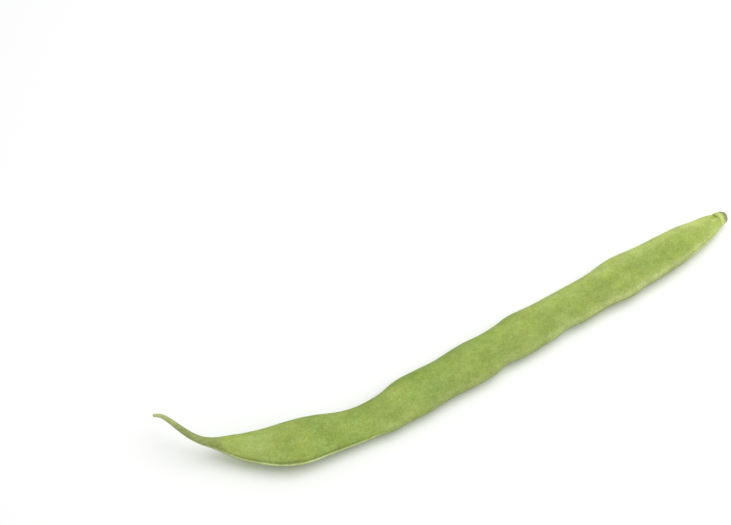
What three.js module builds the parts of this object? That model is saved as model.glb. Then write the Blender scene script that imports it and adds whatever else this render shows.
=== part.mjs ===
import * as THREE from 'three';

// A flat green bean lying on one of its broad faces. Lengths are millimetres, with +Z up.
// The beak is at -X, the stem end at +X. Stations are distances along X from the beak's tip.

// Middle line of the pod, as seen from above: station, place across along Y.
const MIDDLE_LINE = [
  [0, -2.4], [3, -3.7], [5, -6.5], [7, -9.8], [9, -12.5], [11, -14.4], [14, -16.4], [19, -18.9],
  [27, -22.3], [37, -25.5], [49, -27.4], [61, -27.8], [76, -26.6], [95, -23.1], [128, -16.8],
  [163, -10.3], [189, -5.5], [209, -1.3], [216.5, 0.4],
];

// Half widths, from the middle line to each suture: station, towards +Y, towards -Y.
const HALF_WIDTHS = [
  [0, 0.55, 0.55], [5, 1, 1], [9, 1.25, 1.4], [12, 1.45, 1.6], [16, 2.3, 2], [20, 3.9, 3.7],
  [25, 5.5, 5.6], [31, 7.1, 7.4], [37, 8.4, 8.8], [43, 8.9, 9.4], [50, 8.3, 8.6], [57, 7.1, 7.5],
  [65, 6.7, 7.2], [74, 7.2, 7.8], [83, 8.2, 8.4], [93, 7.6, 8], [104, 8, 8.5], [116, 7.4, 7.8],
  [128, 8, 8.4], [140, 7.4, 7.8], [151, 7.5, 7.9], [162, 7.6, 8.1], [173, 8.6, 8.7],
  [184, 7.7, 8.1], [194, 7.1, 7.6], [203, 6.4, 6.5], [210, 4.85, 4.9], [214, 3.85, 3.6],
  [216.5, 2.9, 2.6],
];

// Small waves of each suture, beyond the half widths: station, how far out.
const FAR_WAVES = [
  [12, 0], [18, 0.3], [30, 0.05], [38, 0.05], [50, 0.4], [61, -0.05], [72, -0.3], [80, 0.3],
  [91, 0.45], [98, -0.1], [104, 0], [110, 0.35], [122, 0], [129, 0.5], [141, 0.2], [160, -0.05],
  [168, 0.15], [188, -0.15], [200, -0.05], [206, -0.2], [212, 0.3], [216.5, 0.15],
];
const NEAR_WAVES = [
  [28, 0], [36, 0.3], [49, -0.45], [61, 0.1], [65, -0.05], [70, 0.45], [80, -0.55], [86, -0.2],
  [99, -0.2], [111, 0.35], [117, -0.4], [123, 0.05], [130, -0.1], [137, 0.1], [143, -0.5],
  [150, 0.25], [161, -0.1], [169, 0.5], [176, -0.25], [182, 0.15], [194, 0], [206, -0.3],
  [212, 0], [216.5, -0.15],
];

// Half thickness between the sutures and the crest of each valve, without the seeds.
const HALF_THICKNESS = [
  [0, 0.5], [7, 1], [12, 1.4], [18, 2.4], [27, 3.8], [39, 4.5], [49, 4.3], [61, 3.8], [76, 4.1],
  [189, 4.2], [203, 3.6], [211, 2.8], [216.5, 2.3],
];

// How far the underside stands clear of the surface. The two ends are lifted. Between them the
// seeds reach lower than this, and the pod rests on the small flats that are pressed into them.
const CLEARANCE = [
  [0, 12], [4, 10.6], [9, 8], [14, 5.4], [19, 3.2], [24, 1.4], [29, 0.5], [37, 0.15],
  [194, 0.15], [209, 0.6], [216.5, 1.3],
];

// Slow twist of the pod, in degrees; a positive angle lifts the suture on the -Y side.
const TWIST = [[0, 0], [26, 1], [43, 1.5], [61, 0], [81, -3], [141, -3], [166, 0], [216.5, 0]];

const POD_LENGTH = 216.5;

// Seeds swell both valves. The second ovule hardly grew, where the pod has its waist.
const SEEDS = { first: 40.5, pitch: 21.6, halfLength: 7, swell: 0.4 };
const SEED_FULLNESS = [1, 0.2, 0.9, 1, 0.9, 0.7, 1.1, 0.8];

// The section is a lens: an ellipse has an exponent of 1, and more draws the sutures out.
const LENS_EXPONENT = 1.1;

// Each suture is a low rounded ridge with a shallow groove along both sides of it.
const SUTURE = { ridge: 0.28, ridgeReach: 0.65, groove: 0.14, grooveAt: 1.35, grooveReach: 0.45 };

// Rounding at the ends of the pod, as a length along it.
const TIP_ROUNDING = 0.5;
const NECK_ROUNDING = 0.9;

// Spacing of the rings of points along the pod, and the points in a ring.
const RING_SPACING = [[0, 1.2], [21, 1.7], [41, 2.5], [194, 2.5], [210, 1.4], [216.5, 0.9]];
const RING_POINTS = 36;
const ROUNDING_STEPS = [0.06, 0.28, 0.62];

// The cap left by the flower: a cup with a thick lobed rim and a domed scar where the stalk broke.
// It sits a little to the +Y side, and its scar is turned towards -Y, in degrees.
const CAP = {
  halfWidth: 2.6, halfThickness: 2.3, length: 3.7, aside: 0.2, turn: 20, lobes: 5, lobeHeight: 0.22,
};

// The cap's outline from the hollow of its cup, over the rim, to the scar: distance beyond the
// pod's end, part of the cap's half width and thickness, and share of the lobes.
const CAP_OUTLINE = [
  [0.3, 0.35, 0], [0.18, 0.7, 0.2], [-0.16, 0.9, 0.8], [-0.18, 1, 1], [0.3, 1.07, 0.7],
  [0.7, 1.05, 0.3], [1, 1.01, 0.1], [1.4, 0.97, 0], [2, 0.93, 0], [2.5, 0.86, 0], [3.05, 0.76, 0],
  [3.4, 0.62, 0], [3.6, 0.45, 0], [3.7, 0.26, 0], [3.48, 0.16, 0],
];
const CAP_POINTS = 30;

// A curve through stations leaves one at most this many times as steeply as either span beside it.
const STEEPEST = 3;

const POD_MATERIAL = new THREE.MeshStandardMaterial({ color: '#9fb45f', roughness: 0.62, metalness: 0 });
const CAP_MATERIAL = new THREE.MeshStandardMaterial({ color: '#b4bb72', roughness: 0.7, metalness: 0 });

// Value of a smooth curve through stations, in the given column of their rows. It is level at a
// station that is a crest or a dip, and never swings past its stations in a long span.
function through(stations, place, column = 1) {
  const last = stations.length - 1;
  const at = Math.min(Math.max(place, stations[0][0]), stations[last][0]);
  let left = 0;
  while (left < last - 1 && at >= stations[left + 1][0]) left += 1;
  const rise = (i) => {
    const [here, next] = [stations[i], stations[i + 1]];
    return (next[column] - here[column]) / (next[0] - here[0]);
  };
  const slope = (i) => {
    if (i === 0) return rise(0);
    if (i === last) return rise(last - 1);
    const before = rise(i - 1);
    const after = rise(i);
    if (before * after <= 0) return 0;
    const lengthBefore = stations[i][0] - stations[i - 1][0];
    const lengthAfter = stations[i + 1][0] - stations[i][0];
    const mean = (before * lengthAfter + after * lengthBefore) / (lengthBefore + lengthAfter);
    const steepest = STEEPEST * Math.min(Math.abs(before), Math.abs(after));
    return Math.sign(mean) * Math.min(Math.abs(mean), steepest);
  };
  const span = stations[left + 1][0] - stations[left][0];
  const t = (at - stations[left][0]) / span;
  const start = stations[left][column] * (2 * t ** 3 - 3 * t ** 2 + 1);
  const end = stations[left + 1][column] * (3 * t ** 2 - 2 * t ** 3);
  const leaving = slope(left) * span * (t ** 3 - 2 * t ** 2 + t);
  const arriving = slope(left + 1) * span * (t ** 3 - t ** 2);
  return start + end + leaving + arriving;
}

// How much the seeds add to the half thickness at a station.
function seedSwelling(place) {
  return SEED_FULLNESS.reduce((sum, fullness, i) => {
    const away = (place - SEEDS.first - i * SEEDS.pitch) / SEEDS.halfLength;
    return sum + fullness * SEEDS.swell * Math.exp(-away * away);
  }, 0);
}

// The middle line in space.
function middlePoint(place) {
  const height = through(HALF_THICKNESS, place) + through(CLEARANCE, place);
  return new THREE.Vector3(place, through(MIDDLE_LINE, place), height);
}

// Directions at a station: along the pod, across it towards +Y, and out of its upper valve.
function directions(place) {
  const reach = 0.2;
  const ahead = middlePoint(Math.min(place + reach, POD_LENGTH));
  const behind = middlePoint(Math.max(place - reach, 0));
  const along = ahead.sub(behind).normalize();
  const level = new THREE.Vector3(0, 0, 1).cross(along).normalize();
  const upright = along.clone().cross(level);
  const twist = THREE.MathUtils.degToRad(through(TWIST, place));
  const across = level.clone().multiplyScalar(Math.cos(twist)).addScaledVector(upright, -Math.sin(twist));
  const out = along.clone().cross(across);
  return { along, across, out };
}

// Factor that closes the pod into a round end, from the distance left to that end.
function rounding(distance, length) {
  const t = Math.min(distance / length, 1);
  return Math.sqrt(1 - (1 - t) ** 2);
}

// One point of the pod's skin, from its station and its angle round the section.
function podPoint(place, angle) {
  const { across, out } = directions(place);
  const closing = rounding(place, TIP_ROUNDING) * rounding(POD_LENGTH - place, NECK_ROUNDING);
  const thickness = through(HALF_THICKNESS, place);
  const bulk = thickness / through(HALF_THICKNESS, POD_LENGTH / 2);
  const face = Math.abs(Math.sin(angle));
  const up = thickness * face ** LENS_EXPONENT + seedSwelling(place) * face ** 3;
  const fromSuture = up / bulk;
  const ridge = SUTURE.ridge * Math.exp(-((fromSuture / SUTURE.ridgeReach) ** 2));
  const groove = SUTURE.groove * Math.exp(-(((fromSuture - SUTURE.grooveAt) / SUTURE.grooveReach) ** 2));
  const towardsFar = Math.cos(angle) > 0;
  const halfWidth = through(HALF_WIDTHS, place, towardsFar ? 1 : 2);
  const wave = through(towardsFar ? FAR_WAVES : NEAR_WAVES, place);
  const width = halfWidth + wave - SUTURE.ridge * bulk;
  const side = width * Math.abs(Math.cos(angle)) + (ridge - groove) * bulk;
  const point = middlePoint(place);
  point.addScaledVector(across, side * closing * (towardsFar ? 1 : -1));
  point.addScaledVector(out, up * closing * Math.sign(Math.sin(angle)));
  point.z = Math.max(point.z, 0);
  return point;
}

// A closed skin over rings of points, with one end point before the first and one after the last.
function closedSkin(rings, firstEnd, lastEnd) {
  const count = rings[0].length;
  const points = [...rings.flat(), firstEnd, lastEnd];
  const firstIndex = points.length - 2;
  const lastIndex = points.length - 1;
  const lastRing = (rings.length - 1) * count;
  const triangles = [];
  for (let j = 0; j < count; j += 1) {
    const next = (j + 1) % count;
    triangles.push(firstIndex, next, j);
    triangles.push(lastIndex, lastRing + j, lastRing + next);
    for (let i = 0; i < rings.length - 1; i += 1) {
      const a = i * count + j;
      const b = i * count + next;
      triangles.push(a, b, b + count, a, b + count, a + count);
    }
  }
  const geometry = new THREE.BufferGeometry().setFromPoints(points);
  geometry.setIndex(triangles);
  geometry.computeVertexNormals();
  return geometry;
}

// Stations of the pod's rings: close together at the two ends, and where the beak bends.
function ringPlaces() {
  const body = [];
  const end = POD_LENGTH - NECK_ROUNDING;
  for (let place = TIP_ROUNDING; place < end; place += through(RING_SPACING, place)) body.push(place);
  const tip = ROUNDING_STEPS.map((step) => step * TIP_ROUNDING);
  const neck = ROUNDING_STEPS.map((step) => POD_LENGTH - step * NECK_ROUNDING).reverse();
  return [...tip, ...body, ...neck];
}

function ringAngles(count) {
  return Array.from({ length: count }, (_, j) => (j / count) * Math.PI * 2);
}

function podGeometry() {
  const rings = ringPlaces().map((place) => ringAngles(RING_POINTS).map((angle) => podPoint(place, angle)));
  return closedSkin(rings, middlePoint(0), middlePoint(POD_LENGTH));
}

// Middle of the cap at a distance beyond the pod's end, and its direction across towards +Y.
function capPlace(distance) {
  const { along, across, out } = directions(POD_LENGTH);
  const part = THREE.MathUtils.clamp(distance / CAP.length, 0, 1);
  const turn = THREE.MathUtils.degToRad(CAP.turn * part);
  const middle = middlePoint(POD_LENGTH).addScaledVector(across, CAP.aside - distance * Math.sin(turn / 2));
  middle.addScaledVector(along, distance * Math.cos(turn / 2));
  const width = across.clone().multiplyScalar(Math.cos(turn)).addScaledVector(along, Math.sin(turn));
  return { middle, width, out };
}

function capGeometry() {
  const rings = CAP_OUTLINE.map(([distance, size, lobed]) => ringAngles(CAP_POINTS).map((angle) => {
    const lobe = CAP.lobeHeight * lobed * (0.5 + 0.5 * Math.cos(CAP.lobes * angle));
    const { middle, width, out } = capPlace(distance - lobe);
    middle.addScaledVector(width, CAP.halfWidth * size * Math.cos(angle));
    return middle.addScaledVector(out, CAP.halfThickness * size * Math.sin(angle));
  }));
  const [hollow, scar] = [CAP_OUTLINE[0][0], CAP_OUTLINE[CAP_OUTLINE.length - 1][0]];
  return closedSkin(rings, capPlace(hollow).middle, capPlace(scar).middle);
}

function namedMesh(name, geometry, material) {
  const mesh = new THREE.Mesh(geometry, material);
  mesh.name = name;
  return mesh;
}

const bean = new THREE.Group();
bean.add(namedMesh('pod', podGeometry(), POD_MATERIAL));
bean.add(namedMesh('stem_cap', capGeometry(), CAP_MATERIAL));

// The origin lies under the middle of the whole bean, on the surface that it rests on.
const extent = new THREE.Box3().setFromObject(bean);
const centre = extent.getCenter(new THREE.Vector3());
bean.position.set(-centre.x, -centre.y, -extent.min.z);

export default bean;
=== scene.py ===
"""A flat green bean with its skin, colours and stage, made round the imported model.

Lengths in the tables and constants are in millimetres, and angles in degrees. Meshes are made in
metres, in the model's own frame: the bean lies on a broad face along X, with its beak at -X and its
stem end at +X.
"""

import math

import bpy
from bpy.props import FloatProperty, FloatVectorProperty, IntProperty, PointerProperty
from mathutils import Matrix, Vector, noise


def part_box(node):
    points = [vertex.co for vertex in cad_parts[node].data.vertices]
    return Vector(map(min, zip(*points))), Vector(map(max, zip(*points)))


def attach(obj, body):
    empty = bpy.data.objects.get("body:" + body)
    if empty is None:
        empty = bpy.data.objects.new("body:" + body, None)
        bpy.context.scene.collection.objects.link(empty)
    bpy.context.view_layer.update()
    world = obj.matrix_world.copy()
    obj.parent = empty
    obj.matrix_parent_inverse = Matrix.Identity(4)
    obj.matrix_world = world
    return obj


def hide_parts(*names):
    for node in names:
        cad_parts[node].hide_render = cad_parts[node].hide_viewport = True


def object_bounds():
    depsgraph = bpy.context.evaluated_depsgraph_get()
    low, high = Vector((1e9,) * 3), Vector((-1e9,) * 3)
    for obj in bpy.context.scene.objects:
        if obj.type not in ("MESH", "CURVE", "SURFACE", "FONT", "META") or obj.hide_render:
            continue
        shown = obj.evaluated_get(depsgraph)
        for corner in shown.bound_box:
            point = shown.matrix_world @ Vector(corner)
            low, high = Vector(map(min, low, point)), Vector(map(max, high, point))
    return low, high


bl_info = {
    "name": "Flat bean",
    "version": (1, 0, 0),
    "blender": (4, 5, 0),
    "location": "3D View > Sidebar > Bean",
    "description": "Makes a flat green bean pod with its stem cap, and a pale stage for it",
    "category": "Add Mesh",
}

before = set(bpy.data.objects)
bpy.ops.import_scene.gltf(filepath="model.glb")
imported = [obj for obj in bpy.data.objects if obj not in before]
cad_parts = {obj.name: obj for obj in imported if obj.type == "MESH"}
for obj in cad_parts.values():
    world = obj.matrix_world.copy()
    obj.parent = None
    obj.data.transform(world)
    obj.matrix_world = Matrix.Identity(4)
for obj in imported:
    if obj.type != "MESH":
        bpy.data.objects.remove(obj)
CAD_LOW, CAD_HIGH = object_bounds()

MM = 0.001

# Middle line of the pod, as seen from above: station along X from the beak's tip, place across.
MIDDLE_LINE = [
    (0, -2.4), (3, -3.7), (5, -6.5), (7, -9.8), (9, -12.5), (11, -14.4), (14, -16.4),
    (19, -18.9), (27, -22.3), (37, -25.5), (49, -27.4), (61, -27.8), (76, -26.6), (95, -23.1),
    (128, -16.8), (163, -10.3), (189, -5.5), (209, -1.3), (216.5, 0.4),
]

# Half widths, from the middle line to each suture: station, towards +Y, towards -Y.
HALF_WIDTHS = [
    (0, 0.55, 0.55), (5, 1, 1), (9, 1.25, 1.4), (12, 1.45, 1.6), (16, 2.3, 2), (20, 3.9, 3.7),
    (25, 5.5, 5.6), (31, 7.1, 7.4), (37, 8.4, 8.8), (43, 8.9, 9.4), (50, 8.3, 8.6),
    (57, 7.1, 7.5), (65, 6.7, 7.2), (74, 7.2, 7.8), (83, 8.2, 8.4), (93, 7.6, 8), (104, 8, 8.5),
    (116, 7.4, 7.8), (128, 8, 8.4), (140, 7.4, 7.8), (151, 7.5, 7.9), (162, 7.6, 8.1),
    (173, 8.6, 8.7), (184, 7.7, 8.1), (194, 7.1, 7.6), (203, 6.4, 6.5), (210, 4.85, 4.9),
    (214, 3.85, 3.6), (216.5, 2.9, 2.6),
]

# Small waves of each suture, beyond the half widths: station, how far out.
FAR_WAVES = [
    (12, 0), (18, 0.3), (30, 0.05), (38, 0.05), (50, 0.4), (61, -0.05), (72, -0.3), (80, 0.3),
    (91, 0.45), (98, -0.1), (104, 0), (110, 0.35), (122, 0), (129, 0.5), (141, 0.2),
    (160, -0.05), (168, 0.15), (188, -0.15), (200, -0.05), (206, -0.2), (212, 0.3),
    (216.5, 0.15),
]
NEAR_WAVES = [
    (28, 0), (36, 0.3), (49, -0.45), (61, 0.1), (65, -0.05), (70, 0.45), (80, -0.55),
    (86, -0.2), (99, -0.2), (111, 0.35), (117, -0.4), (123, 0.05), (130, -0.1), (137, 0.1),
    (143, -0.5), (150, 0.25), (161, -0.1), (169, 0.5), (176, -0.25), (182, 0.15), (194, 0),
    (206, -0.3), (212, 0), (216.5, -0.15),
]

# Half thickness between the sutures and the crest of each valve, without the seeds.
HALF_THICKNESS = [
    (0, 0.5), (7, 1), (12, 1.4), (18, 2.4), (27, 3.8), (39, 4.5), (49, 4.3), (61, 3.8),
    (76, 4.1), (189, 4.2), (203, 3.6), (211, 2.8), (216.5, 2.3),
]

# How far the underside would stand clear of the floor without the seeds.
CLEARANCE = [
    (0, 12), (4, 10.6), (9, 8), (14, 5.4), (19, 3.2), (24, 1.4), (29, 0.5), (37, 0.15),
    (194, 0.15), (209, 0.6), (216.5, 1.3),
]

# Slow twist in degrees; a positive angle lifts the suture on the -Y side.
TWIST = [(0, 0), (26, 1), (43, 1.5), (61, 0), (81, -3), (141, -3), (166, 0), (216.5, 0)]

# How clearly the line beside each suture shows: station, share.
SEAM_STRENGTH = [
    (0, 0.5), (16, 0.6), (26, 1), (50, 1), (66, 0.35), (140, 0.3), (170, 0.45), (205, 0.8),
    (216.5, 0.6),
]

# Slow changes of the green: station, towards the bloom's colour, or below 0 towards the deep green.
PALENESS = [
    (0, 0), (40, 0), (47, -0.4), (57, -0.1), (64, 0), (71, 0.12), (78, 0.05), (88, -0.6),
    (99, -0.2), (108, -0.35), (118, -0.05), (132, -0.15), (145, 0), (160, 0.04), (172, -0.05),
    (184, -0.22), (194, 0),
]

POD_LENGTH = 216.5

# The seeds: where the first one lies, the pitch from each to the next, and how full each one is.
SEED_FIRST = 40.5
SEED_PITCH = 21.6
SEED_HALF_LENGTH = 7
SEED_FULLNESS = (1, 0.2, 0.9, 1, 0.9, 0.7, 1.1, 0.8)

# The shape of a section between its sutures, how closely swellings and dents keep to the middle of
# a valve, and the lengths in which the two ends round off.
LENS_EXPONENT = 1.1
SWELL_EXPONENT = 3
TIP_ROUNDING = 0.5
NECK_ROUNDING = 0.9

# A curve through stations leaves one at most this many times as steeply as either span beside it.
STEEPEST = 3

# The short fold beside the cap: its middle along the pod and across it, and its size.
FOLD_AT = 215.2
FOLD_SIDE = 0.7
FOLD_LENGTH = 1.7
FOLD_WIDTH = 1.2

# The ridge, its fine furrow and the groove beside it, by their distance from a suture.
RIDGE_REACH = 0.6
FURROW_REACH = 0.17
GROOVE_AT = 1.15
GROOVE_REACH = 0.42

# Soft dents of the valves: length along the pod and width across it. The small ones' width is a
# part of the half width. The two valves read their noise some way apart.
BROAD_DENTS = (11, 7)
SMALL_DENTS = (5, 0.5)
SMALL_DENT_SHARE = 0.5
VALVES_APART = 20

# Spacing of the rings of points along the pod, the closer rings that round off its ends, and how
# far the points of a ring gather at the sutures.
RING_SPACING = [(0, 0.25), (20, 0.36), (40, 0.44), (196, 0.44), (208, 0.3), (216.5, 0.18)]
ROUNDING_STEPS = (0.015, 0.06, 0.14, 0.25, 0.4, 0.58, 0.79)
SUTURE_CROWDING = 0.6

# What a point of the pod says beside its two places, and what the points at its two ends say.
POD_FACTS = ("from_suture", "seed", "fold", "seam", "pale")
POD_END_FACTS = (1, 0, 0, 0, 0)

# The cap's outline from the hollow of its cup, over the rim, to the scar where the stalk broke:
# distance beyond the pod's end, part of the rim's size, share of the lobes, place in its colours.
CAP_OUTLINE = [
    (-0.15, 0.3, 0, 0), (-0.22, 0.66, 0.1, 0), (-0.5, 0.92, 0.4, 0.02), (-0.9, 1.07, 0.8, 0.05),
    (-0.8, 1.1, 0.8, 0.1), (-0.3, 1.1, 0.6, 0.17), (0.3, 1.08, 0.3, 0.25), (0.7, 1.05, 0.1, 0.35),
    (1, 1.01, 0, 0.42), (1.4, 0.97, 0, 0.5), (2, 0.93, 0, 0.6), (2.5, 0.86, 0, 0.7),
    (3.05, 0.76, 0, 0.78), (3.4, 0.62, 0, 0.86), (3.6, 0.45, 0, 0.92), (3.68, 0.36, 0, 0.95),
    (3.62, 0.26, 0, 0.97), (3.48, 0.14, 0, 1),
]

# Size of the cap's rim, its length, how far its middle lies beside the pod's, and how far it bends.
CAP_HALF_WIDTH = 2.6
CAP_HALF_THICKNESS = 2.3
CAP_LENGTH = 3.7
CAP_ASIDE = 0.2
CAP_TURN = 20

# Lobes of the rim, fine pleats, whose depth is a part of the rim's size, and points of the skin
# round the cap and from one point of its outline to the next.
CAP_LOBES = 5
CAP_PLEATS = 17
CAP_PLEAT_DEPTH = 0.012
CAP_POINTS = 96
CAP_STEPS = 4

# Unevenness of the cap: radius of the circle on which its noise is read, points of its outline in
# one unit of that noise, how far it changes the cap's size, and how far it lifts the scar.
CAP_NOISE_ROUND = 1.3
CAP_NOISE_ALONG = 5
CAP_UNEVENNESS = 0.035
SCAR_UNEVENNESS = 0.1

# Noises of plant skin: size as a part of a patch's, stretch along the skin, where the noise is
# read, detail, and distortion.
SKIN_NOISES = {
    "patches": (1, 1.5, (0, 0, 0), 2, 0.4),
    "clouds": (0.45, 1.3, (31, 7, 3), 2, 0),
    "mottle": (0.2, 1.2, (8, 53, 4), 1, 0),
    "broad": (0.7, 1.1, (3, 17, 71), 1, 0),
    "warm": (0.3, 1.2, (61, 2, 9), 2, 0),
    "cool": (0.35, 1.2, (4, 83, 6), 2, 0),
}

# Flecks are short strokes turned both ways. Their width is a part of their length. Specks are
# dots, so many grains apart.
FLECK_TURNS = (52, -52)
FLECK_WIDTH = 0.22
FLECK_STRETCH = 4.5
SPECK_SPACING = 6

# The usual range of a noise. Then the soft edge of each mark: the value of its noise, or for specks
# the distance from their middle, and how much of the mark shows there.
NOISE_RANGE = (0.3, 0.7)
PATCH_EDGE = [(0.38, 0), (0.64, 1)]
CLOUD_EDGE = [(0.36, 0), (0.66, 1)]
FLECK_EDGE = [(0.56, 0), (0.74, 1)]
SPECK_EDGE = [(0.045, 1), (0.1, 0)]

# How far noises swing the skin's light, and its red and blue, to either side. The blue follows the
# light more strongly than the red and the green do.
LIGHT_SWINGS = {"velvet": 0.13, "mottle": 0.06, "broad": 0.07}
RED_SWING = 0.025
BLUE_SWING = 0.07
BLUE_POWER = 1.6

# Parts that the velvet and the flecks have in the skin's relief.
VELVET_RELIEF = 0.55
FLECK_RELIEF = 0.3

# Profiles that several tints share: a place and the tint's share there.
NEAR_SIDE = [(-3, 1), (1, 0)]
FAR_SIDE = [(0, 0), (3, 1)]
CREST = [(0.3, 1), (0.6, 0)]

# The rim is the part of the near suture's crest that turns under, where shade is painted.
RIM = {"along": [(58, 0), (72, 1), (192, 1), (200, 0)], "across": NEAR_SIDE, "from_suture": CREST}

# How yellow the skin is: over the seeds, in the clouds of its pattern, and towards the stem end.
SEED_YELLOW = 0.35
CLOUD_YELLOW = 0.35
STEM_YELLOW = [(150, 0), (180, 0.25)]

# How much nearer to the beak the near side counts, for each millimetre across, where the beak's
# colour ends on a slant.
BEAK_SLANT = 1.4

# Tints of the pod, in the order in which they are laid over its main green: the setting with the
# colour, and the profiles whose product is the tint's share. A profile runs along the pod, across
# it towards the far side, up from its middle, away from a suture, or over another of the values
# that pod_values gives. A plain number stands for that value itself, times the number.
# Some tints below are painted light or painted shade, as their comments say.
POD_TINTS = [
    # Greener patches, yellow seeds and the slow changes along the pod.
    ("deep_green_and_shade", {"patches": 1, "along": [(40, 0.25), (120, 0.45)]}),
    ("yellow_green", {"yellow": [(0.05, 0), (0.8, 0.6)]}),
    ("bloom_and_light", {"paler": 1}),
    ("deep_green_and_shade", {"deeper": 1}),
    # The flank over the near suture, partly its own pale bloom and partly painted light,
    # and the narrow band of painted light beside that suture.
    ("bloom_and_light", {"along": [(55, 0), (95, 0.34), (130, 0.34), (170, 0.51)],
               "across": NEAR_SIDE, "from_suture": [(1.3, 1), (3.2, 0)]}),
    ("bloom_and_light", {"along": [(130, 0), (168, 0.7), (208, 0.7), (213, 0)],
               "across": NEAR_SIDE, "from_suture": [(0.5, 0), (0.8, 1), (1.3, 1), (2.1, 0)]}),
    # Painted light on the far half of the stem's part, painted shade on the pod's near half,
    # and painted shade in the deep green along the far edge.
    ("neck", {"along": [(115, 0), (160, 0.5), (172, 0.5), (182, 0.65)],
              "across": [(-2, 0), (5, 1)]}),
    ("shade", {"along": [(76, 0), (90, 0.14), (180, 0.14), (200, 0)],
               "across": [(-2, 1), (1, 0)]}),
    ("deep_green_and_shade", {"along": [(70, 0.9), (150, 0.15)],
                    "across": FAR_SIDE, "from_suture": [(2.2, 1), (3.5, 0)]}),
    # Painted light behind the beak, mostly on the near side; the neck, paler partly in its own
    # colour and partly with painted light; and painted light on the neck's far side.
    ("neck", {"along": [(14, 0), (20, 1), (27, 1), (38, 0)], "across": [(-3, 0.5), (4, 0.1)]}),
    ("neck", {"along": [(198, 0), (212, 0.4)]}),
    ("neck", {"along": [(188, 0), (197, 0.6), (209, 0.6), (214, 0)],
              "across": [(0.5, 0), (4, 1)]}),
    # The beak, its dried tip, and painted shade at its root.
    ("beak", {"slant": [(9, 1), (17, 0)]}),
    ("beak_tip", {"along": [(4.8, 1), (6.6, 0)]}),
    ("shade", {"along": [(5.5, 0), (7, 0.4), (15, 0.4), (18.5, 0)]}),
    # The line beside each suture, and the dark edges of the beak.
    ("seam", {"seam": 1, "along": [(140, 0.5), (160, 0.3)],
              "from_suture": [(0.45, 0), (0.75, 1), (0.9, 1), (1.35, 0)]}),
    ("seam", {"along": [(3.5, 0), (6.5, 1), (12, 1), (17, 0)],
              "across": [(-0.8, 0.15), (0.8, 0.5)], "from_suture": [(1.2, 1), (2.6, 0)]}),
    # The pale crests of the sutures, and painted shade on the near rim, on the underside
    # and along the neck's far edge.
    ("crest", {"off_rim": 1, "across": [(-2, 1), (2, 0.25)], "from_suture": CREST,
               "up": [(-0.3, 0), (0.1, 1)]}),
    ("shade", {"rim": 0.6}),
    ("shade", {"from_suture": [(1.2, 1), (3, 0)], "up": [(-0.4, 0.45), (0, 0)]}),
    ("shade", {"along": [(200, 0), (204, 0.7), (211, 0.7), (214, 0)],
               "across": FAR_SIDE, "from_suture": [(0.6, 1), (1.3, 0)]}),
    # Pale flecks, dark specks, the fold beside the cap and the light pleat along it.
    ("bloom_and_light", {"flecks": 1, "along": [(48, 0.4), (60, 0.15)]}),
    ("seam", {"specks": 0.4}),
    ("fold_green", {"fold": [(0.15, 0), (0.7, 0.8)]}),
    ("crest", {"along": [(212.4, 0), (213.2, 0.7), (215.6, 0.7), (216.2, 0)],
               "across": [(-0.8, 0), (-0.5, 1), (-0.4, 1), (-0.1, 0)],
               "up": [(0.2, 0), (0.8, 1)]}),
]

# How rough the pod is over the grain of its pattern, the strength and depth of its fine relief, and
# the plain settings of its shader.
POD_ROUGHNESS = [(0.3, 0.58), (0.7, 0.74)]
POD_RELIEF = (0.5, 0.12)
POD_FINISH = {
    "Specular IOR Level": 0.12, "Sheen Weight": 0.02, "Sheen Roughness": 0.45,
    "Sheen Tint": (0.9, 1, 0.7, 1), "Subsurface Weight": 0.12,
    "Subsurface Radius": (0.9, 1, 0.35), "Subsurface Scale": 1.2 * MM,
}

# How far the pattern's clouds shift the cap's colours along its outline, how the foot's edge slants
# across it, and how much sooner the scar's colour starts on the far side.
CAP_CLOUDS = 0.08
FOOT_SLANT = -0.2
SCAR_SLANT = 0.025

# Tints of the cap, laid over its ring in the same way, and the light of its corky grain.
CAP_TINTS = [
    ("side", {"reach": [(0.36, 0), (0.6, 1)]}),
    ("foot", {"slant": [(-0.3, 1), (0.1, 0)]}),
    ("scar", {"dried": [(0.46, 0), (0.62, 1)]}),
]
CAP_GRAIN = [(0.25, 0.82), (0.75, 1.12)]

# The cap's roughness over the place in its colours, its fine relief, and its plain settings.
CAP_ROUGHNESS = [(0.4, 0.6), (0.9, 0.85)]
CAP_RELIEF = (0.6, 0.15)
CAP_FINISH = {"Specular IOR Level": 0.3}

# The photograph's viewpoint, from the point on the floor at the middle of its frame.
AIM = (-15.64, 53.52, 0)
CAMERA_TURN = 24.5
CAMERA_ELEVATION = 50
CAMERA_DISTANCE = 720
CAMERA_LENS = 100

# The large light's place from that point: to the camera's right, away from it and up.
KEY_PLACE = (340, 20, 530)

# Layout of the nodes in the shader editor.
NODES_PER_ROW = 8
NODE_WIDTH = 190
NODE_HEIGHT = 230


def on_screen(red, green, blue):
    """A colour given as it looks on a screen, from 0 to 255, as Blender's linear values."""
    parts = (part / 255 for part in (red, green, blue))
    return tuple(p / 12.92 if p <= 0.04045 else ((p + 0.055) / 1.055) ** 2.4 for p in parts)


def colour_setting(name, description, red, green, blue):
    """A colour property whose default is given as it looks on a screen."""
    return FloatVectorProperty(
        name=name, description=description, subtype="COLOR", size=3, min=0, max=1,
        default=on_screen(red, green, blue),
    )


def length_setting(name, description, millimetres):
    """A length property whose default is given in millimetres."""
    return FloatProperty(
        name=name, description=description, unit="LENGTH", subtype="DISTANCE", min=0,
        default=millimetres * MM, precision=5,
    )


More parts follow.
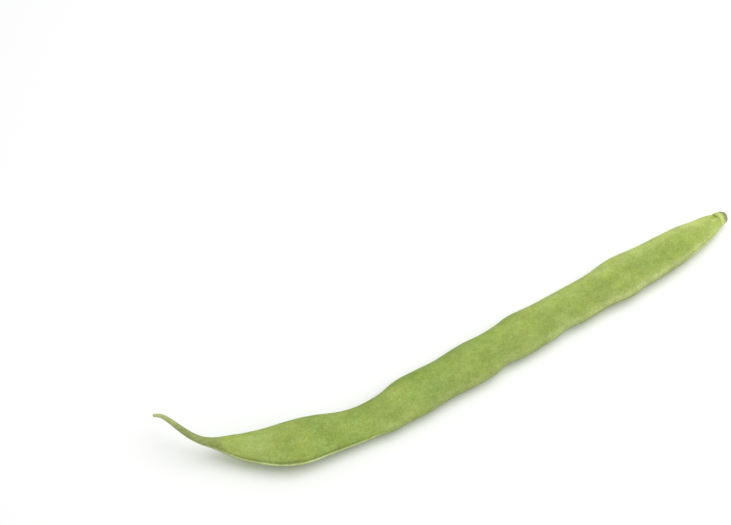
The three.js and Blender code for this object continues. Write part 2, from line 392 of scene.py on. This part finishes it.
class PodSettings(bpy.types.PropertyGroup):
    """Form and colours of the pod."""

    points_round: IntProperty(
        name="Points round", description="Points in a ring round the pod", default=160, min=24,
    )
    seed_swell: length_setting("Seed swelling", "How far a full seed lifts each valve", 0.4)
    unevenness: length_setting("Unevenness", "Depth of the soft dents in the valves", 0.1)
    ridge: length_setting("Suture ridge", "Height of the ridge along each suture", 0.28)
    furrow: length_setting("Suture furrow", "Depth of the fine seam along the ridge's crest", 0.08)
    groove: length_setting("Suture groove", "Depth of the groove on both sides of a ridge", 0.14)
    fold: length_setting("Fold", "Depth of the short fold beside the cap", 0.12)
    green: colour_setting("Green", "Main colour of the skin", 144, 164, 79)
    # The deep green also serves as painted shade along the far edge.
    deep_green_and_shade: colour_setting("Deep green", "Colour of the greener patches", 126, 153, 71)
    yellow_green: colour_setting("Yellow green", "Colour over the seeds", 160, 174, 86)
    # The bloom's colour also serves as painted light on the near flank and beside the near suture.
    bloom_and_light: colour_setting("Bloom", "Colour where the pale bloom is thicker", 184, 194, 127)
    beak: colour_setting("Beak", "Colour of the beak", 152, 164, 104)
    beak_tip: colour_setting("Beak tip", "Colour of the dried tip", 172, 180, 124)
    seam: colour_setting("Seam", "Colour of the line beside each suture", 93, 108, 54)
    fold_green: colour_setting("Fold green", "Colour in the fold", 149, 162, 70)
    crest: colour_setting("Crest", "Colour along the crest of each suture", 192, 200, 146)
    # Also used for painted light on the far half, behind the beak and on the neck's far side.
    neck: colour_setting("Neck", "Colour where the pod narrows to its cap", 180, 194, 112)
    # Used only for painted shade: underside, near half, near rim, beak's root and neck's far edge.
    shade: colour_setting("Shade", "Colour of the underside and of dull parts", 126, 135, 84)


class CapSettings(bpy.types.PropertyGroup):
    """Form and colours of the stem cap."""

    lobe_height: length_setting("Lobes", "How far the rim's lobes reach over the pod", 0.22)
    ring: colour_setting("Ring", "Colour of the pale ring", 188, 200, 116)
    foot: colour_setting("Foot", "Colour where the ring grows onto the pod", 164, 178, 92)
    side: colour_setting("Side", "Colour between the ring and the scar", 181, 192, 119)
    scar: colour_setting("Scar", "Colour of the dried scar", 136, 144, 97)


class StageSettings(bpy.types.PropertyGroup):
    """Floor, light and camera."""

    floor_size: length_setting("Floor", "Side of the square floor", 6000)
    floor: colour_setting("Floor", "Colour of the floor", 246, 247, 246)
    key_power: FloatProperty(
        name="Key light", description="Power of the large soft light behind the bean",
        default=2.5, min=0, unit="POWER",
    )
    key_size: length_setting("Key size", "Side of the large soft light", 700)
    fill: FloatProperty(
        name="Fill", description="Strength of the even light from all round", default=0.78, min=0,
    )


def through(stations, place, column=1):
    """Value of a smooth curve through stations, which is level where they have a crest or a dip,
    and never swings past them in a long span."""
    last = len(stations) - 1
    at = min(max(place, stations[0][0]), stations[last][0])
    left = 0
    while left < last - 1 and at >= stations[left + 1][0]:
        left += 1

    def rise(i):
        span = stations[i + 1][0] - stations[i][0]
        return (stations[i + 1][column] - stations[i][column]) / span

    def slope(i):
        if i in (0, last):
            return rise(min(i, last - 1))
        before, after = rise(i - 1), rise(i)
        if before * after <= 0:
            return 0.0
        length_before = stations[i][0] - stations[i - 1][0]
        length_after = stations[i + 1][0] - stations[i][0]
        mean = (before * length_after + after * length_before) / (length_before + length_after)
        steepest = STEEPEST * min(abs(before), abs(after))
        return math.copysign(min(abs(mean), steepest), mean)

    span = stations[left + 1][0] - stations[left][0]
    t = (at - stations[left][0]) / span
    start = stations[left][column] * (2 * t**3 - 3 * t**2 + 1)
    end = stations[left + 1][column] * (3 * t**2 - 2 * t**3)
    leaving = slope(left) * span * (t**3 - 2 * t**2 + t)
    arriving = slope(left + 1) * span * (t**3 - t**2)
    return start + end + leaving + arriving


def bell(away, reach):
    """A smooth hump, 1 where away is 0."""
    return math.exp(-((away / reach) ** 2))


def seed_fullness(place):
    """How full the seeds make the pod at a station: 1 over a full seed's middle."""
    return sum(
        fullness * bell(place - SEED_FIRST - i * SEED_PITCH, SEED_HALF_LENGTH)
        for i, fullness in enumerate(SEED_FULLNESS)
    )


def middle_point(place):
    """The pod's middle line in space."""
    height = through(HALF_THICKNESS, place) + through(CLEARANCE, place)
    return Vector((place, through(MIDDLE_LINE, place), height))


def directions(place):
    """Along the pod at a station, across it towards +Y, and out of its upper valve."""
    reach = 0.2
    ahead = middle_point(min(place + reach, POD_LENGTH))
    behind = middle_point(max(place - reach, 0))
    along = (ahead - behind).normalized()
    level = Vector((0, 0, 1)).cross(along).normalized()
    upright = along.cross(level)
    twist = math.radians(through(TWIST, place))
    across = level * math.cos(twist) - upright * math.sin(twist)
    return along, across, along.cross(across)


def rounding(distance, length):
    """Factor that closes the pod into a round end, from the distance left to that end."""
    t = min(distance / length, 1)
    return math.sqrt(1 - (1 - t) ** 2)


class PodRing:
    """What is the same all round the pod at one station."""

    def __init__(self, place):
        self.place = place
        self.middle = middle_point(place)
        _, self.across, self.out = directions(place)
        self.closing = rounding(place, TIP_ROUNDING)
        self.closing *= rounding(POD_LENGTH - place, NECK_ROUNDING)
        self.thickness = through(HALF_THICKNESS, place)
        self.bulk = self.thickness / through(HALF_THICKNESS, POD_LENGTH / 2)
        self.seeds = seed_fullness(place)
        self.seam = through(SEAM_STRENGTH, place)
        self.pale = through(PALENESS, place)
        far = through(HALF_WIDTHS, place, 1) + through(FAR_WAVES, place)
        near = through(HALF_WIDTHS, place, 2) + through(NEAR_WAVES, place)
        self.widths = (far, near)

    def dents(self, width, angle, valve):
        """Soft unevenness of a valve, from about -1 to 1."""
        length, breadth = BROAD_DENTS
        across = width * math.cos(angle) / breadth
        broad = noise.noise(Vector((self.place / length, across, VALVES_APART * valve)))
        length, breadth = SMALL_DENTS
        across = math.cos(angle) / breadth
        small = noise.noise(Vector((self.place / length, across, 2 * VALVES_APART * valve)))
        return broad + SMALL_DENT_SHARE * small

    def point(self, angle, pod):
        """A point of the skin, which is flat where it would reach into the floor, its place in the
        straightened pod, and the pod's facts there."""
        face = abs(math.sin(angle))
        far = math.cos(angle) > 0
        valve = math.copysign(1, math.sin(angle))
        width = self.widths[0 if far else 1]
        lift = self.seeds * pod.seed_swell
        lift += self.dents(width, angle, valve) * pod.unevenness * self.bulk
        up = self.thickness * face**LENS_EXPONENT + lift / MM * face**SWELL_EXPONENT
        from_suture = up / self.bulk
        ridge = pod.ridge * bell(from_suture, RIDGE_REACH)
        ridge -= pod.furrow * bell(from_suture, FURROW_REACH)
        groove = pod.groove * self.seam * bell(from_suture - GROOVE_AT, GROOVE_REACH)
        edge = (ridge - groove) / MM * self.bulk
        side = (width - pod.ridge / MM * self.bulk) * abs(math.cos(angle)) + edge
        side *= self.closing * (1 if far else -1)
        fold = bell(self.place - FOLD_AT, FOLD_LENGTH) * bell(side - FOLD_SIDE, FOLD_WIDTH)
        fold *= 1 if valve > 0 else 0
        up = (up - pod.fold / MM * fold) * self.closing * valve
        place = self.middle + self.across * side + self.out * up
        place.z = max(place.z, 0)
        seed = self.seeds * face
        return place, (self.place, side, up), from_suture, seed, fold, self.seam, self.pale


def cap_place(distance):
    """Middle of the cap at a distance beyond the pod's end, and its direction towards +Y."""
    along, across, _ = directions(POD_LENGTH)
    turn = math.radians(CAP_TURN) * min(max(distance / CAP_LENGTH, 0), 1)
    middle = middle_point(POD_LENGTH) + across * CAP_ASIDE
    middle += (along * math.cos(turn / 2) - across * math.sin(turn / 2)) * distance
    return middle, across * math.cos(turn) + along * math.sin(turn)


class CapRing:
    """What is the same all round the cap at one step along its outline."""

    def __init__(self, step):
        outline = [(i, *row) for i, row in enumerate(CAP_OUTLINE)]
        self.step = step
        self.distance = through(outline, step, 1)
        self.size = through(outline, step, 2)
        self.lobed = through(outline, step, 3)
        self.reach = through(outline, step, 4)
        _, _, self.out = directions(POD_LENGTH)

    def point(self, angle, cap):
        """A point of the cap, its place in the straightened cap, and its place in the colours."""
        level, upright = math.cos(angle), math.sin(angle)
        around = Vector((level, upright, 0)) * CAP_NOISE_ROUND
        wander = noise.noise(around + Vector((0, 0, self.step / CAP_NOISE_ALONG)))
        pleats = CAP_PLEAT_DEPTH * math.cos(CAP_PLEATS * angle) * (1 - abs(2 * self.reach - 1))
        grown = self.size * (1 + CAP_UNEVENNESS * wander + pleats)
        side = CAP_HALF_WIDTH * grown * level
        up = CAP_HALF_THICKNESS * grown * upright
        lobe = cap.lobe_height / MM * self.lobed * (1 + math.cos(CAP_LOBES * angle)) / 2
        lift = SCAR_UNEVENNESS * wander * self.reach
        middle, width = cap_place(self.distance - lobe + lift)
        return middle + width * side + self.out * up, (self.distance, side, up), self.reach


def ring_places():
    """Stations of the pod's rings."""
    places = [step * TIP_ROUNDING for step in ROUNDING_STEPS]
    place = TIP_ROUNDING
    while place < POD_LENGTH - NECK_ROUNDING:
        places.append(place)
        place += through(RING_SPACING, place)
    return places + [POD_LENGTH - step * NECK_ROUNDING for step in reversed(ROUNDING_STEPS)]


def ring_angles(count, crowding=0.0):
    """Angles round a section; crowding, from 0 to 1, gathers them at the two sutures."""
    turns = (2 * math.pi * j / count for j in range(count))
    return [turn - crowding * math.sin(2 * turn) / 2 for turn in turns]


def skin_faces(rings, count):
    """Faces of a closed skin whose points are rings, then its first end point, then its last."""
    first, last = rings * count, rings * count + 1
    base = (rings - 1) * count
    faces = []
    for j in range(count):
        following = (j + 1) % count
        faces.append((first, following, j))
        faces.append((last, base + j, base + following))
        for i in range(rings - 1):
            a, b = i * count + j, i * count + following
            faces.append((a, b, b + count, a + count))
    return faces


def lay_out_skin(mesh, rings, count, bands):
    """Unrolls a skin onto the map OFBake, in bands of equal length one above the other."""
    layer = mesh.uv_layers.new(name="OFBake")
    margin = 0.01
    per_band = (rings - 1) / bands
    for face in mesh.polygons:
        corners = list(face.vertices)
        ring_of = [v // count if v < rings * count else None for v in corners]
        real = [r for r in ring_of if r is not None]
        band = min(int(min(real) / per_band), bands - 1)
        round_of = [v % count for v in corners]
        wraps = max(round_of) - min(round_of) > count / 2
        for loop, ring, turn, corner in zip(face.loop_indices, ring_of, round_of, corners):
            if ring is None:
                ring = -1 if corner == rings * count else rings
                turn = round_of[corners.index(next(c for c in corners if c != corner))] + 0.5
            elif wraps and turn < count / 2:
                turn += count
            u = (ring - band * per_band + 1) / (per_band + 2)
            v = (band + margin + (1 - 2 * margin) * turn / (count + 1)) / bands
            layer.data[loop].uv = (margin + (1 - 2 * margin) * u, v)


def frame_shift():
    """From the stations' own frame to the model's: the beak's tip is at the model's low X, and the
    bean's width, read from some of its points, lies about the model's middle."""
    low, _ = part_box("pod")
    every, points = 6, 12
    across = [
        PodRing(place).point(angle, bpy.context.scene.bean_pod)[0].y
        for place in ring_places()[::every] for angle in ring_angles(points)
    ]
    middle = (CAD_LOW.y + CAD_HIGH.y) / 2 / MM
    return Vector((low.x / MM, middle - (min(across) + max(across)) / 2, 0))


def add_skin(name, points, facts, count, material, bands=1):
    """Makes a closed skin from rings of points and one point at each end. A point is its place in
    the stations' frame, its place in the straightened piece, and the facts its material reads."""
    shift = frame_shift()
    places, straight, *rest = zip(*points)
    rings = (len(points) - 2) // count
    mesh = bpy.data.meshes.new(name)
    mesh.from_pydata([(place + shift) * MM for place in places], [], skin_faces(rings, count))
    layer = mesh.attributes.new("straight", "FLOAT_VECTOR", "POINT")
    layer.data.foreach_set("vector", [part for value in straight for part in value])
    for fact, values in zip(facts, rest):
        mesh.attributes.new(fact, "FLOAT", "POINT").data.foreach_set("value", values)
    lay_out_skin(mesh, rings, count, bands)
    mesh.shade_smooth()
    mesh.materials.append(material)
    piece = bpy.data.objects.new(name, mesh)
    bpy.context.scene.collection.objects.link(piece)
    return piece


class Sheet:
    """Adds nodes to one node tree and gives back what they put out."""

    def __init__(self, tree):
        self.tree = tree

    def feed(self, socket, value):
        """Links a socket, or sets a plain value on it."""
        if isinstance(value, bpy.types.NodeSocket):
            self.tree.links.new(value, socket)
        elif socket.type == "RGBA" and len(value) == 3:
            socket.default_value = (*value, 1)
        else:
            socket.default_value = value

    def add(self, kind, inputs=None, **settings):
        """Adds a node with its settings and its inputs, which are named or numbered."""
        node = self.tree.nodes.new(kind)
        row, column = divmod(len(self.tree.nodes), NODES_PER_ROW)
        node.location = (column * NODE_WIDTH, -row * NODE_HEIGHT)
        for name, value in settings.items():
            setattr(node, name, value)
        for name, value in (inputs or {}).items():
            self.feed(node.inputs[name], value)
        return node

    def fact(self, name, output="Fac"):
        """What the mesh says about its points under a name."""
        return self.add("ShaderNodeAttribute", attribute_name=name).outputs[output]

    def combine(self, operation, first, second):
        """Two values combined by an operation of the Math node."""
        return self.add("ShaderNodeMath", {0: first, 1: second}, operation=operation).outputs[0]

    def times(self, first, second):
        """The product of two values."""
        return self.combine("MULTIPLY", first, second)

    def rise(self, value, start, end, low=0.0, high=1.0):
        """Goes smoothly from low to high as value goes from start to end."""
        node = self.add(
            "ShaderNodeMapRange", {0: value, 1: start, 2: end, 3: low, 4: high},
            interpolation_type="SMOOTHSTEP",
        )
        return node.outputs[0]

    def profile(self, value, stations):
        """Goes smoothly through stations: a value and what the profile is there."""
        (start, low), (end, high) = stations[:2]
        total = self.rise(value, start, end, low, high)
        for (start, before), (end, after) in zip(stations[1:], stations[2:]):
            if after != before:
                total = self.combine("ADD", total, self.rise(value, start, end, 0, after - before))
        return total

    def share(self, values, profiles):
        """The product of profiles, each over the value that it names. A plain number in the place
        of a profile's stations stands for its value times that number."""
        total = 1.0
        for name, stations in profiles.items():
            factor = self.profile if isinstance(stations, list) else self.times
            total = self.times(total, factor(values[name], stations))
        return total

    def swing(self, value, by):
        """Goes from 1 - by to 1 + by over the usual range of a noise's value."""
        return self.rise(value, *NOISE_RANGE, 1 - by, 1 + by)

    def slanted(self, value, across, slope):
        """A value that also grows across the skin, so that its edges run on a slant."""
        return self.combine("ADD", value, self.times(across, slope))

    def blend(self, share, below, above, mode="MIX"):
        """Colours mixed by a share."""
        node = self.add(
            "ShaderNodeMix", {0: share, 6: below, 7: above}, data_type="RGBA", blend_type=mode
        )
        return node.outputs[2]

    def placed(self, vector, size, turn=0.0, shift=(0, 0, 0)):
        """Coordinates in which a pattern of this size, turned in the skin's plane, has size 1."""
        node = self.add(
            "ShaderNodeMapping",
            {"Vector": vector, "Location": shift, "Rotation": (0, 0, math.radians(turn)),
             "Scale": size},
            vector_type="TEXTURE",
        )
        return node.outputs[0]

    def noise(self, vector, detail=2.0, roughness=0.5, distortion=0.0):
        """Cloudy noise of size 1, about 0.5 on average."""
        node = self.add(
            "ShaderNodeTexNoise",
            {"Vector": vector, "Scale": 1.0, "Detail": detail, "Roughness": roughness,
             "Distortion": distortion},
        )
        return node.outputs[0]


def group_sheet(name, inputs, outputs):
    """A new node group with named sockets: its tree, a sheet on it, and its two end nodes."""
    tree = bpy.data.node_groups.new(name, "ShaderNodeTree")
    for socket, kind, default in inputs:
        made = tree.interface.new_socket(socket, in_out="INPUT", socket_type=kind)
        if default is not None:
            made.default_value = default
    for socket, kind in outputs:
        tree.interface.new_socket(socket, in_out="OUTPUT", socket_type=kind)
    sheet = Sheet(tree)
    return tree, sheet, sheet.add("NodeGroupInput"), sheet.add("NodeGroupOutput")


def plant_skin_group():
    """Node group with the living pattern of plant skin, for coordinates in millimetres."""
    tree, sheet, start, end = group_sheet(
        "Plant skin",
        [("Vector", "NodeSocketVector", None), ("Patch Size", "NodeSocketFloat", 14.0),
         ("Grain Size", "NodeSocketFloat", 0.8), ("Fleck Length", "NodeSocketFloat", 1.6)],
        [("Patches", "NodeSocketFloat"), ("Clouds", "NodeSocketFloat"),
         ("Grain", "NodeSocketFloat"), ("Tone", "NodeSocketColor"),
         ("Flecks", "NodeSocketFloat"), ("Specks", "NodeSocketFloat"),
         ("Height", "NodeSocketFloat")],
    )
    patch, grain, fleck = (start.outputs[n] for n in ("Patch Size", "Grain Size", "Fleck Length"))

    def sized(size, part=1.0, stretch=1.0, **more):
        """Coordinates for a pattern as wide as a part of a size, and longer along the skin."""
        width = sheet.times(size, part)
        sizes = sheet.add(
            "ShaderNodeCombineXYZ", {0: sheet.times(width, stretch), 1: width, 2: width}
        )
        return sheet.placed(start.outputs["Vector"], sizes.outputs[0], **more)

    noises = {"velvet": sheet.noise(sized(grain), detail=3, roughness=0.7)}
    for name, (part, stretch, shift, detail, distortion) in SKIN_NOISES.items():
        vector = sized(patch, part, stretch, shift=shift)
        noises[name] = sheet.noise(vector, detail=detail, distortion=distortion)
    strokes = [
        sheet.noise(sized(fleck, FLECK_WIDTH, FLECK_STRETCH, turn=turn, shift=(5, turn, 2)))
        for turn in FLECK_TURNS
    ]
    flecks = sheet.profile(sheet.combine("MAXIMUM", *strokes), FLECK_EDGE)
    dots = sheet.add(
        "ShaderNodeTexVoronoi",
        {"Vector": sized(grain, SPECK_SPACING), "Scale": 1.0, "Randomness": 1.0},
    )
    light = 1.0
    for name, by in LIGHT_SWINGS.items():
        light = sheet.times(light, sheet.swing(noises[name], by))
    red = sheet.times(light, sheet.swing(noises["warm"], RED_SWING))
    blue = sheet.times(
        sheet.combine("POWER", light, BLUE_POWER), sheet.swing(noises["cool"], BLUE_SWING)
    )
    made = {
        "Patches": sheet.profile(noises["patches"], PATCH_EDGE),
        "Clouds": sheet.profile(noises["clouds"], CLOUD_EDGE),
        "Grain": noises["velvet"],
        "Tone": sheet.add("ShaderNodeCombineXYZ", {0: red, 1: light, 2: blue}).outputs[0],
        "Flecks": flecks,
        "Specks": sheet.profile(dots.outputs["Distance"], SPECK_EDGE),
        "Height": sheet.combine(
            "ADD", sheet.times(noises["velvet"], VELVET_RELIEF), sheet.times(flecks, FLECK_RELIEF)
        ),
    }
    for name, value in made.items():
        sheet.feed(end.inputs[name], value)
    return tree


def new_material(name):
    """A material with an empty Principled surface: the material, its sheet and its shader."""
    material = bpy.data.materials.new(name)
    material.use_nodes = True
    tree = material.node_tree
    tree.nodes.clear()
    sheet = Sheet(tree)
    shader = sheet.add("ShaderNodeBsdfPrincipled")
    output = sheet.add("ShaderNodeOutputMaterial")
    sheet.feed(output.inputs["Surface"], shader.outputs[0])
    return material, sheet, shader


def skin_pattern(sheet, **values):
    """The plant skin's group in a material, on the straightened coordinates."""
    tree = bpy.data.node_groups.get("Plant skin") or plant_skin_group()
    node = sheet.add("ShaderNodeGroup", node_tree=tree)
    sheet.feed(node.inputs["Vector"], sheet.fact("straight", "Vector"))
    for name, value in values.items():
        node.inputs[name.replace("_", " ").title()].default_value = value
    return node.outputs


def straight_values(sheet):
    """The coordinates of the straightened piece, by the names that profiles use."""
    node = sheet.add("ShaderNodeSeparateXYZ", {0: sheet.fact("straight", "Vector")})
    return dict(zip(("along", "across", "up"), node.outputs))


def pod_values(sheet, skin):
    """Everything that the pod's profiles run over, by name."""
    values = straight_values(sheet)
    for name in POD_FACTS:
        values[name] = sheet.fact(name)
    for name in ("Patches", "Flecks", "Specks"):
        values[name.lower()] = skin[name]
    yellow = sheet.combine(
        "ADD", sheet.times(values["seed"], SEED_YELLOW), sheet.times(skin["Clouds"], CLOUD_YELLOW)
    )
    values["yellow"] = sheet.combine("ADD", yellow, sheet.profile(values["along"], STEM_YELLOW))
    values["slant"] = sheet.slanted(values["along"], values["across"], BEAK_SLANT)
    values["paler"] = sheet.combine("MAXIMUM", values["pale"], 0)
    values["deeper"] = sheet.combine("MAXIMUM", sheet.times(values["pale"], -1), 0)
    values["rim"] = sheet.share(values, RIM)
    values["off_rim"] = sheet.combine("SUBTRACT", 1, values["rim"])
    return values


def cap_values(sheet, skin):
    """Everything that the cap's profiles run over, by name."""
    values = straight_values(sheet)
    clouds = sheet.times(skin["Clouds"], CAP_CLOUDS)
    values["reach"] = sheet.combine("ADD", sheet.fact("reach"), clouds)
    values["slant"] = sheet.slanted(values["along"], values["across"], FOOT_SLANT)
    values["dried"] = sheet.slanted(values["reach"], values["across"], SCAR_SLANT)
    return values


def lay_tints(sheet, colour, tints, values, settings):
    """Lays tints over a colour one after another."""
    for setting, profiles in tints:
        colour = sheet.blend(sheet.share(values, profiles), colour, getattr(settings, setting))
    return colour


def finish_skin(sheet, shader, height, relief, inputs):
    """Gives a skin's shader its fine relief, and everything else that it reads."""
    strength, depth = relief
    bump = sheet.add(
        "ShaderNodeBump", {"Strength": strength, "Distance": depth * MM, "Height": height}
    )
    sheet.feed(shader.inputs["Normal"], bump.outputs[0])
    for name, value in inputs.items():
        sheet.feed(shader.inputs[name], value)


def pod_material(pod):
    """Velvety green skin with its pattern, and with the pod's tints where they belong."""
    material, sheet, shader = new_material("Pod skin")
    skin = skin_pattern(sheet)
    colour = lay_tints(sheet, pod.green, POD_TINTS, pod_values(sheet, skin), pod)
    colour = sheet.blend(1.0, colour, skin["Tone"], "MULTIPLY")
    roughness = sheet.profile(skin["Grain"], POD_ROUGHNESS)
    inputs = {"Base Color": colour, "Roughness": roughness, **POD_FINISH}
    finish_skin(sheet, shader, skin["Height"], POD_RELIEF, inputs)
    return material


def cap_material(cap):
    """Pale corky ring that darkens to the dried scar."""
    material, sheet, shader = new_material("Stem cap")
    skin = skin_pattern(sheet, patch_size=2.5, grain_size=0.25, fleck_length=0.6)
    values = cap_values(sheet, skin)
    colour = lay_tints(sheet, cap.ring, CAP_TINTS, values, cap)
    light = sheet.profile(skin["Grain"], CAP_GRAIN)
    tone = sheet.add("ShaderNodeCombineXYZ", {0: light, 1: light, 2: light}).outputs[0]
    colour = sheet.blend(1.0, colour, tone, "MULTIPLY")
    roughness = sheet.profile(values["reach"], CAP_ROUGHNESS)
    inputs = {"Base Color": colour, "Roughness": roughness, **CAP_FINISH}
    finish_skin(sheet, shader, skin["Height"], CAP_RELIEF, inputs)
    return material


class BEAN_OT_make_pod(bpy.types.Operator):
    """Make the pod's skin with its seeds, sutures, beak and neck"""

    bl_idname = "bean.make_pod"
    bl_label = "Pod"

    def execute(self, context):
        pod = context.scene.bean_pod
        angles = ring_angles(pod.points_round, SUTURE_CROWDING)
        rings = [PodRing(place) for place in ring_places()]
        points = [ring.point(angle, pod) for ring in rings for angle in angles]
        for end in (0, POD_LENGTH):
            points.append((middle_point(end), (end, 0, 0), *POD_END_FACTS))
        piece = add_skin("pod_skin", points, POD_FACTS, len(angles), pod_material(pod), bands=2)
        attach(piece, "root")
        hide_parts("pod")
        return {"FINISHED"}


class BEAN_OT_make_stem_cap(bpy.types.Operator):
    """Make the cap at the stem end, with its lobed ring and the scar of the stalk"""

    bl_idname = "bean.make_stem_cap"
    bl_label = "Stem cap"

    def execute(self, context):
        cap = context.scene.bean_cap
        steps = [i / CAP_STEPS for i in range((len(CAP_OUTLINE) - 1) * CAP_STEPS + 1)]
        rings = [CapRing(step) for step in steps]
        points = [ring.point(angle, cap) for ring in rings for angle in ring_angles(CAP_POINTS)]
        for ring in (rings[0], rings[-1]):
            points.append((cap_place(ring.distance)[0], (ring.distance, 0, 0), ring.reach))
        piece = add_skin("stem_cap_skin", points, ["reach"], CAP_POINTS, cap_material(cap))
        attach(piece, "root")
        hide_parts("stem_cap")
        return {"FINISHED"}


class BEAN_OT_make_stage(bpy.types.Operator):
    """Make the pale floor, the soft light and the camera"""

    bl_idname = "bean.make_stage"
    bl_label = "Stage"

    def execute(self, context):
        scene = context.scene
        stage = scene.bean_stage
        half = stage.floor_size / 2
        corners = [(-half, -half, 0), (half, -half, 0), (half, half, 0), (-half, half, 0)]
        mesh = bpy.data.meshes.new("floor")
        mesh.from_pydata(corners, [], [(0, 1, 2, 3)])
        material, _, shader = new_material("Floor")
        shader.inputs["Base Color"].default_value = (*stage.floor, 1)
        shader.inputs["Roughness"].default_value = 0.9
        shader.inputs["Specular IOR Level"].default_value = 0.1
        mesh.materials.append(material)
        floor = bpy.data.objects.new("floor", mesh)
        scene.collection.objects.link(floor)

        turn = math.radians(CAMERA_TURN)
        right = Vector((math.cos(turn), -math.sin(turn), 0))
        forward = Vector((math.sin(turn), math.cos(turn), 0))
        aim = Vector(AIM) * MM

        key_data = bpy.data.lights.new("key", "AREA")
        key_data.shape = "SQUARE"
        key_data.size = stage.key_size
        key_data.energy = stage.key_power
        key = bpy.data.objects.new("key", key_data)
        aside, away, above = (part * MM for part in KEY_PLACE)
        key.location = aim + right * aside + forward * away + Vector((0, 0, above))
        key.rotation_euler = (key.location - aim).to_track_quat("Z", "Y").to_euler()
        scene.collection.objects.link(key)

        world = bpy.data.worlds.new("studio")
        world.use_nodes = True
        world.node_tree.nodes["Background"].inputs["Color"].default_value = (1, 1, 1, 1)
        world.node_tree.nodes["Background"].inputs["Strength"].default_value = stage.fill
        scene.world = world
        scene.view_settings.view_transform = "Standard"

        camera_data = bpy.data.cameras.new("camera")
        camera_data.lens = CAMERA_LENS
        camera = bpy.data.objects.new("camera", camera_data)
        lift = math.radians(CAMERA_ELEVATION)
        back = Vector((0, 0, 1)) * math.sin(lift) - forward * math.cos(lift)
        rotation = Matrix((right, back.cross(right), back)).transposed()
        place = aim + back * CAMERA_DISTANCE * MM
        camera.matrix_world = Matrix.Translation(place) @ rotation.to_4x4()
        scene.collection.objects.link(camera)
        scene.camera = camera
        return {"FINISHED"}


class BEAN_PT_panel(bpy.types.Panel):
    """The bean's pieces and their settings"""

    bl_idname = "BEAN_PT_panel"
    bl_label = "Flat bean"
    bl_space_type = "VIEW_3D"
    bl_region_type = "UI"
    bl_category = "Bean"

    def draw(self, context):
        for operator, settings in PIECES:
            box = self.layout.box()
            box.operator(operator.bl_idname)
            group = getattr(context.scene, settings)
            for name in type(group).__annotations__:
                box.prop(group, name)


PIECES = (
    (BEAN_OT_make_pod, "bean_pod"),
    (BEAN_OT_make_stem_cap, "bean_cap"),
    (BEAN_OT_make_stage, "bean_stage"),
)
SETTINGS = {"bean_pod": PodSettings, "bean_cap": CapSettings, "bean_stage": StageSettings}
CLASSES = (*SETTINGS.values(), *(operator for operator, _ in PIECES), BEAN_PT_panel)


def register():
    for made in CLASSES:
        bpy.utils.register_class(made)
    for name, group in SETTINGS.items():
        setattr(bpy.types.Scene, name, PointerProperty(type=group))


def unregister():
    for name in SETTINGS:
        delattr(bpy.types.Scene, name)
    for made in reversed(CLASSES):
        bpy.utils.unregister_class(made)


def main():
    """Makes the bean and its stage."""
    register()
    bpy.ops.bean.make_pod()
    bpy.ops.bean.make_stem_cap()
    bpy.ops.bean.make_stage()


if __name__ == "__main__":
    main()
